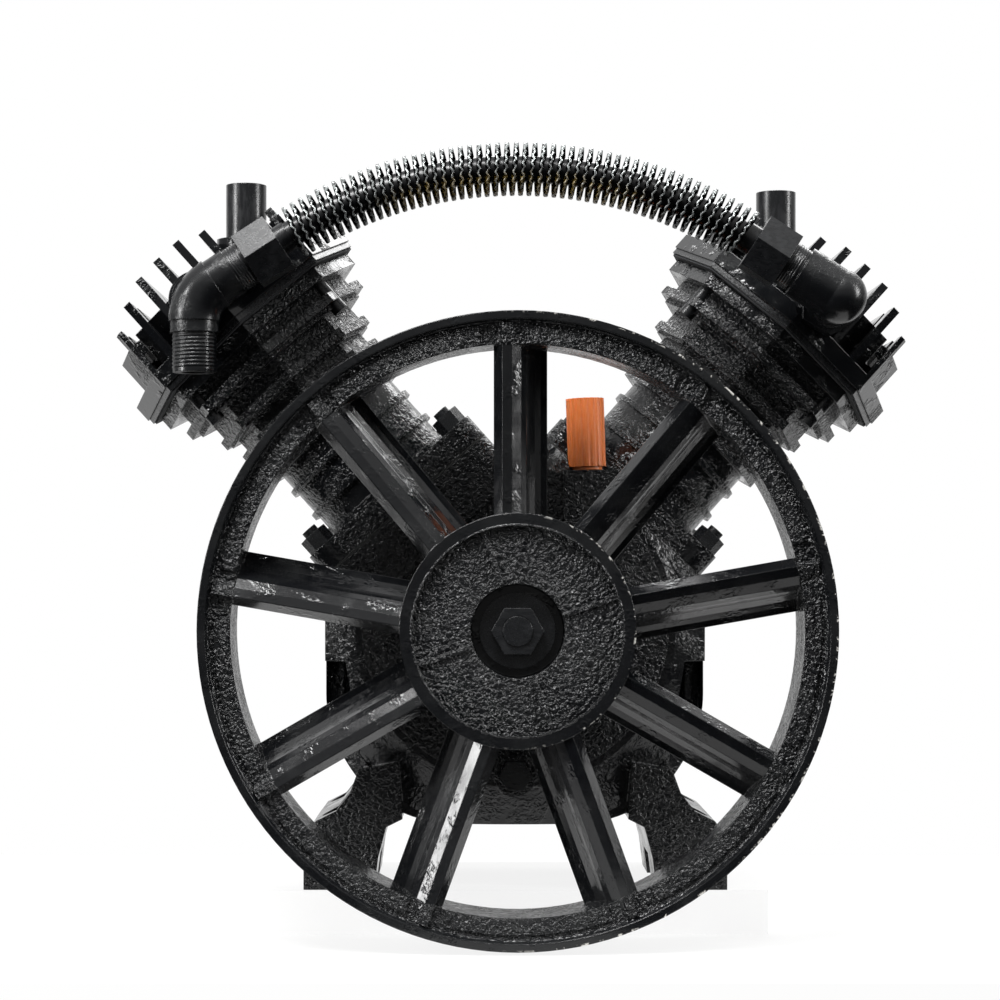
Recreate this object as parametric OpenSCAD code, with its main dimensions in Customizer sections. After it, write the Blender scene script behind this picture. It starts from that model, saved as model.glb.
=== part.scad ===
// Twin-cylinder V air compressor pump with a fan flywheel.
// Crank axis along Y, wheel at -Y, feet on Z = 0, origin at the centre of the four foot bolts.

/* [Layout] */
// Height of the case above the platform
case_lift = 31; // [29:1:40]
// Angle of each cylinder from the vertical
bank_angle = 42; // [41:0.5:44]
// Distance of each cylinder from the middle plane, along the crank
bank_shift = 12; // [12:0.5:14]
// Running clearance of turning and sliding fits, on the radius
running_gap = 0.05; // [0.03:0.01:0.08]
// Clearance of fastened fits, on the radius
loose_gap = 0.15; // [0.1:0.05:0.3]

/* [Wheel] */
// Outer radius of the flywheel
wheel_r = 150; // [146:1:160]
// Width of the rim
wheel_w = 36; // [34:1:44]
// Place of the wheel's front face along the crank
wheel_front = -118; // [-122:1:-117]
// Inner radius of the rim
rim_bore_r = 134.7; // [128:0.5:136]
// Width of the front lip of the rim
rim_lip_w = 3.7; // [2:0.1:6]
// Depth of the land behind the front lip
rim_land_depth = 4; // [2:0.5:6]
// Radial width of the cast pads on the land
rim_pad_w = 8; // [5:0.5:9]
// Height of the cast pads
rim_pad_h = 1; // [0.5:0.1:2]
// Length of bare land at one end of each pad
rim_pad_stop = 13; // [6:1:20]
// Number of fan spokes
spoke_count = 9; // [7:1:10]
// Radius where the front edge of a spoke ends on the rim face
spoke_end_r = 144.5; // [142:0.5:145]
// Top width of a belt groove
belt_w = 13; // [12:0.5:14]
// Depth of a belt groove
belt_depth = 10.5; // [8:0.5:11]
// Distance between the belt grooves
belt_pitch = 15.5; // [15.5:0.5:17]
// Flank angle of a belt groove
belt_flank = 19; // [17:0.5:20]
// Radius of the hub drum
hub_r = 55.4; // [52:0.5:60]
// Width of the lip around the hub face
hub_lip_w = 5.9; // [4:0.5:8]
// Depth of the hub face behind its lip
hub_recess = 3.5; // [2:0.5:5]
// Thickness of the hub face
hub_plate = 8; // [6:0.5:9]
// Radius of the nut pocket
nut_pocket_r = 22; // [20:0.5:24]
// Depth of the nut pocket
nut_pocket_depth = 14; // [13:0.5:15]
// Outer radius of the hub core around the shaft
hub_core_r = 30; // [27:0.5:33]

/* [Shaft] */
// Radius of the shaft in the flywheel and in the front bearing
nose_r = 12.5; // [11.5:0.5:13]
// Radius of the shaft in the rear bearing
main_r = 15; // [14:0.5:16]
// Radius of the threaded end
thread_end_r = 7; // [6:0.5:8]
// Crank radius, half of the stroke
throw_r = 23; // [20:0.5:24]
// Radius of the crankpin
crankpin_r = 15; // [13:0.5:16]
// Thickness of the crank web
web_t = 11; // [9:0.5:11]
// Radius of the counterweight
web_r = 53; // [48:1:54]
// Width across flats of the flywheel nut
wheel_nut_af = 21.5; // [19:0.5:24]
// Thickness of the flywheel washer
washer_t = 3; // [2:0.5:4]
// Radius of the flywheel washer
washer_r = 18; // [16:0.5:20]
// Width of the flywheel key
key_w = 6; // [5:0.5:8]

/* [Bearings] */
// Width of the front bearing
front_bearing_w = 15; // [13:0.5:15]
// Outer radius of the front bearing
front_bearing_r = 26; // [25:0.5:27]
// Width of the rear bearing
rear_bearing_w = 16; // [14:0.5:16]
// Outer radius of the rear bearing
rear_bearing_r = 31; // [29:0.5:32]
// Width of the oil seal
seal_w = 7; // [6:0.5:8]

/* [Crankcase] */
// Half-width of the crankcase
case_half = 95; // [92:1:100]
// Depth of the crankcase below the crank axis
case_drop = 99; // [97:1:102]
// Radius of its lower corners
case_corner_r = 65; // [55:1:70]
// Front face of the crankcase
case_front = -50; // [-51:0.5:-49]
// Rear face of the crankcase
case_rear = 57; // [56:0.5:62]
// Wall of the crankcase
case_wall = 9; // [7:0.5:10]
// Radius of the rough front face
face_r = 76; // [70:1:80]
// Depth of the bevel around the front face
bevel_depth = 16; // [12:1:20]
// Radius of the bearing snout
snout_r = 42; // [40:0.5:44]
// Distance between foot bolts across the pump
foot_span_x = 174; // [170:1:180]
// Distance between foot bolts along the crank
foot_span_y = 70; // [64:1:76]
// Radius of a foot bolt hole
foot_hole_r = 5.5; // [4.5:0.5:6]
// Thickness of the foot under a bolt
foot_pad_h = 14; // [10:1:16]
// Radius of the pocket for a bolt head
foot_pocket_r = 9.5; // [8.5:0.5:10]
// Outer radius of the rear cover
cover_r = 72; // [70:0.5:74]
// Thickness of the rear cover
cover_t = 7; // [5:0.5:9]
// Place of the filler plug across the pump
filler_x = 36; // [34:0.5:38]
// Place of the filler plug along the crank
filler_y = -41.5; // [-42:0.5:-41]
// Height of the filler boss
filler_z = 208; // [206:0.5:212]
// Radius of the filler plug
plug_r = 9.5; // [9:0.5:10]
// Height of the filler plug
plug_h = 34; // [28:1:38]
// Lean of the filler plug
plug_lean = 2; // [0:0.5:3]

/* [Cylinders] */
// Height of the deck along the cylinder axis
deck_u = 81; // [80:0.5:83]
// Half-width of the base flange across the cylinder
flange_half_x = 53; // [51:0.5:54]
// Half-width of the base flange along the crank
flange_half_y = 41; // [40:0.5:43]
// Thickness of the base flange
flange_t = 12.2; // [10:0.2:14]
// Cylinder bore radius
bore_r = 32.5; // [31:0.25:33]
// Outer radius of the plain barrel
barrel_r = 37; // [36:0.5:39]
// Gap between piston and cylinder top at the end of its stroke
top_gap = 1.5; // [0.6:0.1:3]
// Thickness of a gasket
gasket_t = 1; // [0.6:0.1:1.4]
// Thickness of the valve plate
valve_plate_t = 3; // [2.5:0.1:4]

/* [Heads] */
// Corner radius of the head's base flange
head_r = 69; // [67:0.5:72]
// Thickness of the head's base flange
head_flange_t = 9; // [8:0.5:11]
// Height of the head body above its base flange
head_body_h = 21; // [19:0.5:23]
// Distance between the head fins
head_fin_pitch = 12.7; // [12:0.1:13.4]
// Thickness of a head fin
head_fin_t = 4; // [3:0.2:5]
// Free length of an intake pipe
intake_l = 28; // [24:1:36]
// Outer radius of an intake pipe
intake_r = 10.25; // [9:0.25:11]
// Wall of an intake pipe
intake_wall = 1.8; // [1.4:0.1:2.5]

/* [Discharge] */
// Place of the discharge fittings along the crank
line_y = -85; // [-86:0.5:-84]
// Slope of the pipe at its ends
pipe_slope = 33; // [32:0.5:34]
// Outer radius of the pipe
pipe_r = 6.5; // [6:0.25:7]
// Wall of the pipe
pipe_wall = 1.3; // [1:0.1:1.6]
// Radius of the pipe's fin
fin_r = 12.8; // [12:0.1:13.4]
// Number of turns of the fin
fin_count = 54; // [50:1:56]
// Thickness of the fin
fin_t = 0.6; // [0.5:0.1:0.8]
// Width across flats of the pipe nuts
pipe_nut_af = 27; // [26:0.5:28]
// Length of the pipe nuts
pipe_nut_l = 18; // [16:0.5:20]
// Radius of the outlet thread
outlet_r = 10.4; // [10:0.1:11]
// Length of the outlet thread
outlet_l = 19; // [16:0.5:22]
// Radius of the fitting bodies
fitting_r = 12.5; // [12:0.25:13]

/* [Pistons] */
// Length of the connecting rod
rod_l = 137; // [135:0.5:139]
// Height of the piston crown above the wrist pin
crown_h = 37.5; // [34:0.5:38.5]
// Length of the skirt below the wrist pin
skirt_l = 25; // [22:0.5:27]
// Radius of the wrist pin
wrist_r = 8; // [7:0.25:9]
// Thickness of the rod at its eyes
rod_w = 20; // [17:0.5:21]

/* [Hidden] */
$fn = 64;

black = "#1b1d1f";
iron = "#3a3d40";
steel = "#b9bec4";
alloy = "#c9ccd0";
orange = "#e07b39";
paper = "#6d7a6b";

// Overrun of cuts, and the least step that keeps two faces apart
over = 1;

// Bevels of the fan blade: distance from the spoke's centre line, clockwise, and depth
blade_reach = 14.5;
blade_back = 31;
blade_front_share = [
    [-0.50, 0.03], [-0.19, 0.08], [0.12, 0.18], [0.28, 0.32], [0.41, 0.52], [0.59, 0.68], [0.79, 0.79], [1, 0.87]];
blade_back_share = [
    [1, 1], [0.55, 0.98], [0.07, 0.89], [-0.28, 0.71], [-0.55, 0.48], [-0.77, 0.29]];

// Places up the pump, and where a cylinder ends
crank_z = case_lift + case_drop;
top_u = throw_r + rod_l + crown_h + top_gap;

// Wheel and shaft places along the crank
seat_front = wheel_front + nut_pocket_depth;
snout_l = 20;
snout_front = case_front - seal_w - snout_l;
hub_gap = 2.5;
hub_rear = snout_front - hub_gap;
front_bearing_y = snout_front + seal_w;
bearing_land = 3;
rear_bearing_y = front_bearing_y + front_bearing_w + bearing_land;
web_gap = 0.5;
web_front = rear_bearing_y + rear_bearing_w + web_gap;
web_rear = web_front + web_t;
boss_wall = 5;
boss_r = nose_r + boss_wall;
nose_gap = 0.2;
nut_stand_in = 2;
shoulder_r = main_r + 6;
pin_seat_r = crankpin_r + 5;
web_step = 6;
web_neck = 8;
ball_count = 9;
ball_share = 0.3;
race_share = 0.17;
seal_t = 2;
seal_lip = 1.5;
hex_share = 0.5 / cos(30);
key_front = seat_front + 2;
key_l = hub_rear - key_front - 4;
key_bottom = nose_r - 3;
key_top = nose_r + 2.8;

// Rim
lip_r = wheel_r - rim_lip_w;
pad_outer_r = rim_bore_r + rim_pad_w;
fillet_share = 0.95;
groove_y1 = (wheel_w - belt_pitch) / 2;

// Hub ribs on the face
hub_rib_w = 2.2;
hub_rib_h = 1.2;
hub_rib_start = 19;
hub_wall = 8.4;

// Crankcase section
case_bottom = crank_z - case_drop;
saddle_r = 24;
saddle_rise = 6;
saddle_z = crank_z + case_half + saddle_rise;
spigot_wall = 3.6;
spigot_r = bore_r + spigot_wall;
spigot_u = 58;
tower_bore_r = spigot_r + loose_gap;
foot_half_y = foot_span_y / 2 + foot_pocket_r + 5.5;
foot_gap_y = 15;
foot_relief = 10;
foot_out = foot_span_x / 2 + 18;
foot_in = foot_span_x / 2 - 17;
pad_step = foot_pad_h + 5;
// Leg's outline: distance in from the foot's outer edge, and height above the case's bottom
leg_root = [12, 32];
leg_back_steps = [[27, 28], [23, 17], [16, 8], [6, 3], [1.5, -3]];
// Edge of the foot's pad: distance in, and height above the pad's step
pad_edge_steps = [[0, 4], [1, 0], [0, -5]];
// Leg's inner side: distance in from the foot's inner edge, and height above the case's bottom
leg_front_steps = [[2, -15], [6, 0], [14, 4]];
front_wall = 14;
bevel_slope = 1.75;
bevel_flat = 2;
deck_t = 26;
flange_corner_r = 10;
tower_relief = 14;
stud_hole_l = 14;
cover_bolt_pcr = cover_r - 8;
cover_open_r = cover_r - 16;
cover_bolt_r = 4;
cover_bolt_af = 13;
cover_bolt_head_h = 5;
bolt_end_gap = 2;
cover_y = case_rear + gasket_t;
dome_r = cover_open_r - 3;
dome_h = 5;
dome_wall = 6;
sight_drop = 34;
sight_z = crank_z - sight_drop;
sight_r = 11;
sight_lip = 2;
sight_seat = 3;
sight_t = 5;
bezel_r = 15.5;
bezel_t = 4;
plug_hole_r = 6;
drain_drop = case_drop - 26;
drain_af = 14;
drain_head_h = 6;
drain_boss_r = 10.5;
drain_boss_h = 2;
filler_boss_w = 27;
filler_boss_d = 22;
filler_boss_h = 38;
filler_boss_shift = 1.5;
filler_neck_r = 6;
filler_neck_l = 14;
filler_bore_l = 60;
filler_lift = 50;
plug_seat = 0.3;
plug_seal_t = 3;
plug_grip = 2;
flute_count = 18;
flute_r = 1.3;
flute_share = 0.6;

// Cylinder pattern
stud_r = 4;
stud_x = flange_half_x - 9;
stud_y = flange_half_y - 10;
stud_af = 13;
nut_h = 8;
stud_depth = 13;
stud_end = 3;
barrel_foot_h = 4;
barrel_foot_step = 2.5;
rib_t = 3;
gasket_inset = 2;
flange_u = deck_u + gasket_t;
flange_top = flange_u + flange_t;
// Low ribs, fins and their share of the distance from flange to top, with radius shares of the head
rib_shares = [0.13, 0.28];
rib_share = 0.57;
fin_shares = [[0.44, 0.64, 4.5], [0.6, 0.66, 4.5], [0.72, 0.71, 5], [0.87, 0.85, 5], [1, 0.92, 7]];
core_shares = [[0.44, 0.6], [0.66, 0.67], [0.8, 0.78]];

// Head
plate_u = top_u + gasket_t;
head_u = plate_u + valve_plate_t;
head_flange_u = head_u + head_flange_t;
head_top = head_flange_u + head_body_h;
head_shoulder = 9;
head_body_r = head_r - head_shoulder;
head_face = head_body_r + 2;
port_rise = 19.5;
port_u = head_u + port_rise;
port_x = 8;
port_r = 7;
port_boss_r = fitting_r + 1.5;
port_depth = 8;
socket_l = 10;
chamber_h = 20;
chamber_half = 26;
chamber_wall = 10;
chamber_rib = 3;
bolt_x = 41;
bolt_y = 32;
bolt_head_h = 5.5;
bolt_seat_u = head_flange_u + 6;
bolt_pocket_r = 9.5;
bolt_depth = 26;
// Fins across the head: number of pitches from the middle, height share above the body
head_fins = [[-3.7, 0.05], [-1.2, 0.55], [-0.2, 0.75], [0.8, 0.75], [1.8, 0.7], [2.8, 0.5], [3.8, 0.2]];
fin_rise = 24;
fin_inset = 3;
intake_shift = 1.74;
intake_x = (head_u + intake_shift) * sin(bank_angle);
intake_rise = 23.14;
intake_base = crank_z + head_u * cos(bank_angle) + intake_rise;
intake_boss_h = 23;
intake_mouth = intake_base + intake_boss_h;
intake_boss_r = 15;
intake_bore_wall = 3;
intake_seat = 12;
intake_step = 0.25;
intake_clear_r = intake_boss_r + 1;
// Ports through the valve plate: suction towards the pump's middle, discharge outwards
suction_x = -20;
discharge_x = 18;
valve_port_y = 9;
port_places = [for (x = [suction_x, discharge_x], y = [-valve_port_y, valve_port_y]) [x, y]];
valve_hole_r = 4.5;
reed_w = 13;
reed_l = 34;
reed_t = 0.5;
reed_stop_inset = 1;

// Discharge line
// Place of the discharge port in a head's front, which is the corner of the line
corner_x = port_u * sin(bank_angle) + port_x * cos(bank_angle);
corner_z = crank_z + port_u * cos(bank_angle) - port_x * sin(bank_angle);
bend_r = 22;
bend_cut = bend_r * tan((90 - pipe_slope) / 2);
nut_mid = 39.3;
nut_start = nut_mid - pipe_nut_l / 2;
nut_end = nut_mid + pipe_nut_l / 2;
arch_gap = 4;
arch_end = nut_end + arch_gap;
arch_end_x = corner_x - arch_end * cos(pipe_slope);
arch_end_z = corner_z + arch_end * sin(pipe_slope);
arch_fit_r = arch_end_x / sin(pipe_slope);
arch_z = arch_end_z - arch_fit_r * cos(pipe_slope);
collar_af = 28;
outlet_drop = 17.5;
// Legs are a little thinner than the bend that they leave
leg_step = 0.8;
collar_w = 12;
male_l = 9;
male_neck = 8;
male_r = fitting_r - 1.5;
elbow_step = 0.5;
spigot_in = 8;
sleeve_step = 0.5;
sleeve_lap = 2;
fin_bite = 0.15;
fin_end_angle = 0.6;

// Crank mechanism at rest, with the crankpin straight up
pin_u = throw_r * cos(bank_angle);
pin_x = throw_r * sin(bank_angle);
wrist_u = pin_u + sqrt(rod_l * rod_l - pin_x * pin_x);
rod_tilt = asin(pin_x / rod_l);
piston_gap = 0.1;
piston_r = bore_r - piston_gap;
ring_r = bore_r - running_gap;
ring_depth = 3.2;
ring_back_gap = 0.3;
ring_side_gap = 0.05;
// Piston rings: distance of the foot below the crown, and height
rings = [[7, 2.5], [12.5, 2.5], [20, 4]];
piston_boss_inset = 2;
boss_side_gap = 1;
pin_end_gap = 3;
pin_wall = 3;
skirt_wall = 5;
crown_t = 8;
big_end_wall = 6;
big_end_r = crankpin_r + big_end_wall;
eye_wall = 5;
small_end_r = wrist_r + eye_wall;
rod_gap = 0.5;
rod_half = bank_shift - rod_gap;
shank_inset = 3;
shank_top = small_end_r + 10;
pocket_inset = 2;
pocket_gap = 4;
journal_gap = 0.3;
journal_hole_share = 1 / 3;
dipper_r = 3;
dipper_l = 12;

// Frame of the crank: X right, Y up, Z towards the wheel, starting at the place y
module on_crank(y) {
    translate([0, y, crank_z]) rotate([90, 0, 0]) children();
}

// Round piece about the crank axis between two places
module crank_disc(y0, y1, r) {
    on_crank(y1) cylinder(h = y1 - y0, r = r);
}

// Ring about the crank axis
module crank_ring(y0, y1, r, hole) {
    difference() {
        crank_disc(y0, y1, r);
        crank_disc(y0 - over, y1 + over, hole);
    }
}

// Frame of a cylinder: Z along its axis from the crank, X outwards. side is -1 left or 1 right
module on_bank(side) {
    translate([0, side * bank_shift, crank_z]) {
        if (side > 0) rotate([0, bank_angle, 0]) children();
        else mirror([1, 0, 0]) rotate([0, bank_angle, 0]) children();
    }
}

// Frame of a fitting corner: X towards the arch, Z up
module on_corner(side) {
    translate([side * corner_x, line_y, corner_z]) {
        if (side < 0) children();
        else mirror([1, 0, 0]) children();
    }
}

// Round about Y
module along_y(y0, y1, r) {
    translate([0, y1, 0]) rotate([90, 0, 0]) cylinder(h = y1 - y0, r = r);
}

// Rounded rectangle in two dimensions
module rounded(half_x, half_y, r) {
    square([2 * half_x, 2 * (half_y - r)], center = true);
    square([2 * (half_x - r), 2 * half_y], center = true);
    for (x = [-1, 1], y = [-1, 1]) translate([x * (half_x - r), y * (half_y - r)]) circle(r);
}

// Octagon with a corner towards the front
module octagon(r) {
    circle(r, $fn = 8);
}

// One slab across a cylinder
module slab(u0, u1, r) {
    translate([0, 0, u0]) linear_extrude(u1 - u0) octagon(r);
}

// One V groove for a belt, as a profile
module belt_profile(depth0) {
    half = belt_w / 2;
    narrow = half - belt_depth * tan(belt_flank);
    run = over * tan(belt_flank);
    polygon([
        [wheel_r + over, -depth0 - half - run], [wheel_r - belt_depth, -depth0 - narrow],
        [wheel_r - belt_depth, -depth0 + narrow], [wheel_r + over, -depth0 + half + run]]);
}

module rim() {
    rotate_extrude($fn = 180) polygon([
        [rim_bore_r, -wheel_w], [wheel_r, -wheel_w], [wheel_r, 0], [lip_r, 0],
        [lip_r - rim_land_depth * fillet_share / 2, -rim_land_depth * fillet_share],
        [pad_outer_r, -rim_land_depth], [rim_bore_r, -rim_land_depth]]);
}

module rim_pads() {
    step = 360 / spoke_count;
    bare = rim_pad_stop / rim_bore_r * 180 / PI;
    root = blade_reach * 0.3 / rim_bore_r * 180 / PI;
    for (i = [0 : spoke_count - 1]) rotate([0, 0, 90 + i * step + root + bare])
        rotate_extrude(angle = step - 2 * root - bare, $fn = 180)
            translate([rim_bore_r + loose_gap, -rim_land_depth - over])
                square([rim_pad_w - 2 * loose_gap, rim_pad_h + over]);
}

module spokes() {
    outline = [for (p = concat(blade_front_share, blade_back_share))
        [-p[0] * blade_reach, -p[1] * blade_back]];
    for (i = [0 : spoke_count - 1]) rotate([0, 0, 90 + i * 360 / spoke_count])
        translate([hub_r - hub_wall / 2, 0, 0]) rotate([90, 0, 90])
            linear_extrude(spoke_end_r - hub_r + hub_wall / 2) polygon(outline);
}

module hub() {
    nose = front_bearing_y - wheel_front - nose_gap;
    rotate_extrude($fn = 128) polygon([
        [nose_r + loose_gap, -nut_pocket_depth], [nut_pocket_r, -nut_pocket_depth],
        [nut_pocket_r, -hub_recess], [hub_r - hub_lip_w, -hub_recess], [hub_r - hub_lip_w, 0], [hub_r, 0],
        [hub_r, -blade_back - over], [hub_r - hub_wall, -blade_back - over],
        [hub_r - hub_wall, -hub_recess - hub_plate], [hub_core_r, -hub_recess - hub_plate],
        [hub_core_r, -hub_rear + wheel_front], [boss_r, -hub_rear + wheel_front], [boss_r, -nose],
        [nose_r + loose_gap, -nose]]);
    for (i = [0 : 3]) rotate([0, 0, hub_rib_start + i * 90])
        translate([nut_pocket_r + over, -hub_rib_w / 2, -hub_recess - over])
            cube([hub_r - hub_lip_w - nut_pocket_r - over / 2, hub_rib_w, hub_rib_h + over]);
}

module key_slot(extra) {
    translate([-key_w / 2 - extra, key_front - extra, crank_z + key_bottom - extra])
        cube([key_w + 2 * extra, key_l + 2 * extra, key_top - key_bottom + 2 * extra]);
}

module flywheel() {
    color(black) difference() {
        on_crank(wheel_front) {
            rim();
            rim_pads();
            spokes();
            hub();
        }
        on_crank(wheel_front) rotate_extrude($fn = 180)
            for (i = [0, 1]) belt_profile(groove_y1 + i * belt_pitch);
        translate([-key_w / 2 - loose_gap, seat_front - over, crank_z])
            cube([key_w + 2 * loose_gap, hub_rear - seat_front + boss_r, key_top + loose_gap]);
    }
}

module crankshaft() {
    color(steel) difference() {
        union() {
            crank_disc(wheel_front + over, seat_front + over, thread_end_r);
            crank_disc(seat_front + loose_gap, rear_bearing_y - bearing_land + over, nose_r);
            crank_disc(rear_bearing_y - bearing_land + loose_gap, web_front + over, main_r);
            on_crank(web_rear) linear_extrude(web_t) crank_web();
        }
        key_slot(loose_gap);
    }
}

// Counterweight below the shaft, cheeks up to the crankpin's seat
module crank_web() {
    difference() {
        union() {
            intersection() {
                circle(web_r, $fn = 96);
                translate([-web_r, -web_r - over]) square([2 * web_r, web_r + over - web_step]);
            }
            circle(shoulder_r);
            translate([-pin_seat_r, -web_neck]) square([2 * pin_seat_r, throw_r + web_neck]);
            translate([0, throw_r]) circle(pin_seat_r);
        }
        for (x = [-1, 1]) translate([x * web_r, -web_step]) circle(web_r / 3);
    }
}

module flywheel_key() {
    color(steel) key_slot(0);
}

module flywheel_washer() {
    color(steel) crank_ring(seat_front - washer_t, seat_front, washer_r, thread_end_r + loose_gap);
}

module flywheel_nut() {
    back = seat_front - washer_t;
    front = wheel_front + nut_stand_in;
    color(steel) difference() {
        on_crank(back) cylinder(h = back - front, r = wheel_nut_af * hex_share, $fn = 6);
        crank_disc(front - over, back + over, thread_end_r + loose_gap);
    }
}

// Rolling bearing about the crank: part is "outer", "inner" or "balls"
module bearing(part, y, w, outer, inner, balls) {
    pitch = (outer + inner) / 2;
    ball = (outer - inner) * ball_share;
    race = (outer - inner) * race_share;
    on_crank(y + w) {
        if (part == "balls") {
            for (i = [0 : balls - 1]) rotate([0, 0, i * 360 / balls])
                translate([pitch, 0, w / 2]) sphere(ball, $fn = 32);
        } else rotate_extrude($fn = 96) difference() {
            if (part == "outer") translate([outer - race, 0]) square([race - running_gap, w]);
            else translate([inner + running_gap, 0]) square([race, w]);
            translate([pitch, w / 2]) circle(ball + loose_gap);
        }
    }
}

module front_bearing(part) {
    bearing(part, front_bearing_y, front_bearing_w, front_bearing_r, nose_r, ball_count);
}

module rear_bearing(part) {
    bearing(part, rear_bearing_y, rear_bearing_w, rear_bearing_r, main_r, ball_count);
}

module front_oil_seal() {
    lip = boss_r + running_gap;
    back = seal_w - over / 4;
    rubber = "#26221f";
    color(rubber) on_crank(front_bearing_y - over / 4) rotate_extrude($fn = 96) polygon([
        [lip, seal_w - 2 * seal_lip], [lip, seal_lip], [lip + seal_t, seal_lip], [lip + seal_t, seal_w - seal_t],
        [front_bearing_r - seal_t, seal_w - seal_t], [front_bearing_r - seal_t, 0],
        [front_bearing_r - running_gap, 0], [front_bearing_r - running_gap, back], [lip + seal_lip, back]]);
}

// Plane across the crank, cut off at both decks and hollowed between them
module case_section(inset) {
    reach = 3 * case_half;
    difference() {
        intersection() {
            translate([0, (case_half - case_drop) / 2])
                rounded(case_half - inset, (case_half + case_drop) / 2 - inset, case_corner_r - inset);
            rotate(-bank_angle) translate([-reach, -reach]) square([2 * reach, reach + deck_u - inset]);
            rotate(bank_angle) translate([-reach, -reach]) square([2 * reach, reach + deck_u - inset]);
        }
        translate([0, saddle_z - crank_z]) circle(saddle_r + inset);
    }
}

// Splayed leg as an outline
module leg_outline() {
    polygon(concat(
        [[foot_in - leg_root[0], case_bottom + leg_root[1]]],
        [for (p = leg_back_steps) [foot_out - p[0], case_bottom + p[1]]],
        [for (p = pad_edge_steps) [foot_out - p[0], pad_step + p[1]]],
        [[foot_out, 0], [foot_in, 0]],
        [for (p = leg_front_steps) [foot_in - p[0], case_bottom + p[1]]]));
}

module legs() {
    for (side = [0, 1]) mirror([side, 0, 0]) difference() {
        translate([0, foot_half_y, 0]) rotate([90, 0, 0]) linear_extrude(2 * foot_half_y) leg_outline();
        translate([foot_in - foot_relief, -foot_gap_y, -over])
            cube([foot_out - foot_in + 2 * foot_relief, 2 * foot_gap_y, foot_pad_h + over]);
    }
}

module flange_outline() {
    rounded(flange_half_x, flange_half_y, flange_corner_r);
}

module case_outside() {
    cone_r = face_r + bevel_depth * bevel_slope;
    bevel_rear = case_front + bevel_depth + over;
    on_crank(case_rear) linear_extrude(case_rear - case_front - bevel_depth) case_section(0);
    intersection() {
        on_crank(bevel_rear) linear_extrude(bevel_depth + over - bevel_flat) case_section(0);
        on_crank(bevel_rear)
            cylinder(h = bevel_depth + over, r1 = cone_r + bevel_slope * over, r2 = face_r, $fn = 128);
    }
    crank_disc(case_front, case_front + bevel_depth, face_r);
    crank_disc(snout_front, case_front + over, snout_r);
    for (side = [-1, 1]) on_bank(side)
        translate([0, 0, deck_u - deck_t]) linear_extrude(deck_t) flange_outline();
    translate([filler_x - filler_boss_w / 2 + filler_boss_shift, filler_y - filler_boss_d / 2,
        filler_z - filler_boss_h]) cube([filler_boss_w, filler_boss_d, filler_boss_h]);
    legs();
    translate([0, 0, crank_z - drain_drop])
        along_y(case_front - drain_boss_h, case_front + bevel_depth, drain_boss_r);
}

module on_filler() {
    translate([filler_x, filler_y, filler_z]) rotate([0, -plug_lean, 0]) children();
}

module foot_places() {
    for (x = [-1, 1], y = [-1, 1]) translate([x * foot_span_x / 2, y * foot_span_y / 2, 0]) children();
}

module crankcase() {
    inner_front = case_front + front_wall;
    inner_rear = case_rear - case_wall;
    color(black) difference() {
        case_outside();
        on_crank(inner_rear) linear_extrude(inner_rear - inner_front) case_section(case_wall);
        crank_disc(inner_rear - over, case_rear + over, cover_open_r);
        for (side = [-1, 1]) on_bank(side) {
            translate([0, 0, spigot_u - tower_relief])
                cylinder(h = deck_u - spigot_u + tower_relief + over, r = tower_bore_r);
            stud_places() translate([0, 0, deck_u - stud_hole_l])
                cylinder(h = stud_hole_l + over, r = stud_r + loose_gap);
        }
        crank_disc(snout_front - over, front_bearing_y + front_bearing_w, front_bearing_r);
        crank_disc(front_bearing_y, rear_bearing_y + over, shoulder_r);
        crank_disc(rear_bearing_y, inner_front + over, rear_bearing_r);
        foot_places() {
            translate([0, 0, -over]) cylinder(h = foot_pad_h + 2 * over, r = foot_hole_r);
            translate([0, 0, foot_pad_h]) cylinder(h = case_drop, r = foot_pocket_r);
        }
        for (i = [0 : 5]) on_crank(case_rear + over) rotate([0, 0, i * 60])
            translate([cover_bolt_pcr, 0, 0]) cylinder(h = case_wall, r = cover_bolt_r + loose_gap);
        translate([0, 0, crank_z - drain_drop])
            along_y(case_front - drain_boss_h - over, inner_front + over, plug_hole_r + loose_gap);
        on_filler() {
            translate([0, 0, -filler_bore_l]) cylinder(h = filler_bore_l + over, r = filler_neck_r + loose_gap);
            translate([0, 0, plug_seat]) cylinder(h = plug_h + filler_lift, r = plug_r + loose_gap);
        }
    }
}

module rear_cover_gasket() {
    color(paper) difference() {
        crank_ring(case_rear, case_rear + gasket_t, cover_r, cover_open_r);
        cover_bolt_holes();
    }
}

module cover_bolt_holes() {
    for (i = [0 : 5]) on_crank(case_rear + 3 * cover_t) rotate([0, 0, i * 60])
        translate([cover_bolt_pcr, 0, 0]) cylinder(h = 4 * cover_t, r = cover_bolt_r + loose_gap);
}

module rear_cover() {
    dome_y = cover_y + cover_t + dome_h;
    color(black) difference() {
        union() {
            crank_disc(cover_y, cover_y + cover_t, cover_r);
            crank_disc(cover_y, dome_y, dome_r);
        }
        crank_disc(cover_y - over, cover_y + dome_h, dome_r - dome_wall);
        cover_bolt_holes();
        translate([0, 0, sight_z]) along_y(cover_y, dome_y, sight_r - sight_lip);
        translate([0, 0, sight_z]) along_y(dome_y - sight_seat, dome_y + over, sight_r + loose_gap);
    }
}

module rear_cover_bolts() {
    color(steel) for (i = [0 : 5]) on_crank(cover_y + cover_t) rotate([0, 0, i * 60])
        translate([cover_bolt_pcr, 0, 0]) {
            translate([0, 0, -cover_bolt_head_h])
                cylinder(h = cover_bolt_head_h, r = cover_bolt_af * hex_share, $fn = 6);
            translate([0, 0, -over])
                cylinder(h = cover_t + gasket_t + case_wall - bolt_end_gap + over, r = cover_bolt_r);
        }
}

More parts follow.
